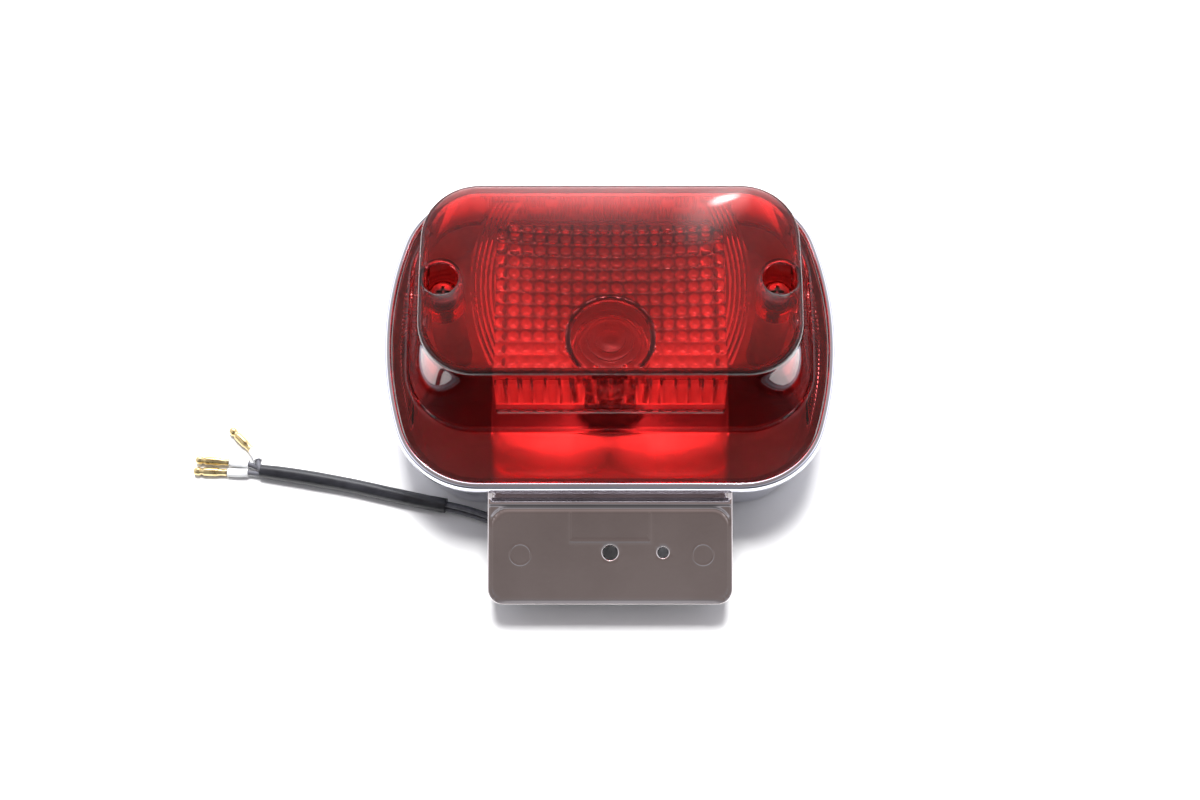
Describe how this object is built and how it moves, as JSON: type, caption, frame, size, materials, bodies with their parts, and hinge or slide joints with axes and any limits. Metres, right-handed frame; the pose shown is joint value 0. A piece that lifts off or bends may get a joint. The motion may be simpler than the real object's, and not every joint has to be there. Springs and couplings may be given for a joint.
{
  "type": "motorcycle tail light",
  "caption": "Motorcycle tail light: plated bowl, deep red prism lens, twin-filament bayonet bulb, reflector bracket below and a sleeved wiring tail with bullet terminals.",
  "frame": {"origin": "middle of the lamp's footprint (bracket included, wiring not) on the surface it lies on, at the housing's flat back", "axes": "+Z the way the lens faces, away from the vehicle; +Y to the top of the lamp; +X to the right as seen from behind the vehicle"},
  "size_m": [0.2242, 0.1476, 0.0679],
  "materials": {
    "chrome_plastic": "bright chrome plating on moulded plastic",
    "red_lens": "clear red moulded acrylic, polished outside, with pillow optics inside",
    "rubber": "matt black moulded rubber",
    "silvered": "vacuum-silvered plastic",
    "steel": "bright zinc-plated steel",
    "brass": "bare brass",
    "phenolic": "brown phenolic board",
    "solder": "dull tin-lead solder",
    "bulb_glass": "clear blown glass",
    "tungsten": "drawn tungsten wire",
    "wire_grey": "dark grey PVC insulation",
    "pvc_black": "soft black PVC sleeve",
    "pvc_clear": "clear soft PVC sleeve"
  },
  "bodies": {
    "lamp_body": {"housing": "chrome_plastic", "lens": "red_lens", "lens_gasket": "rubber", "reflector": "silvered", "reflector_bracket": "chrome_plastic", "bracket_screw_left": "steel", "bracket_screw_right": "steel", "mounting_insert_left": "brass", "mounting_insert_right": "brass", "lens_screw_left": "steel", "lens_screw_right": "steel", "lens_screw_washer_left": "rubber", "lens_screw_washer_right": "rubber", "bulb_socket": "steel", "socket_rivet_lower": "steel", "socket_rivet_upper": "steel", "socket_insulator": "phenolic", "contact_spring": "steel", "cable_grommet": "rubber", "cable_sleeve": "pvc_black", "lead_brake": "wire_grey", "wire_brake": "wire_grey", "terminal_brake": "brass", "terminal_sleeve_brake": "pvc_clear", "lead_earth": "wire_grey", "wire_earth": "wire_grey", "terminal_earth": "brass", "terminal_sleeve_earth": "pvc_clear", "lead_tail": "wire_grey", "wire_tail": "wire_grey", "terminal_tail": "brass", "terminal_sleeve_tail": "pvc_clear"},
    "plunger": {"contact_plunger": "phenolic", "socket_contact_tail": "brass", "socket_contact_brake": "brass"},
    "bulb": {"bulb_base": "brass", "bulb_insulator": "phenolic", "bulb_contact_tail": "solder", "bulb_contact_brake": "solder", "bulb_glass": "bulb_glass", "bulb_stem": "bulb_glass", "filament_brake": "tungsten", "filament_tail": "tungsten"}
  },
  "joints": [
    {"name": "bulb_push", "type": "slide", "parent": "lamp_body", "child": "plunger", "axis": [0, 0, 1], "range_m": [-0.002, 0], "stiffness_N_per_m": 2000, "springref_m": 0.004, "deforming": ["contact_spring"]},
    {"name": "bulb_turn", "type": "hinge", "parent": "plunger", "child": "bulb", "pos_m": [0, 0.00066, 0.014], "axis": [0, 0, 1], "range_deg": [0, 20]}
  ]
}
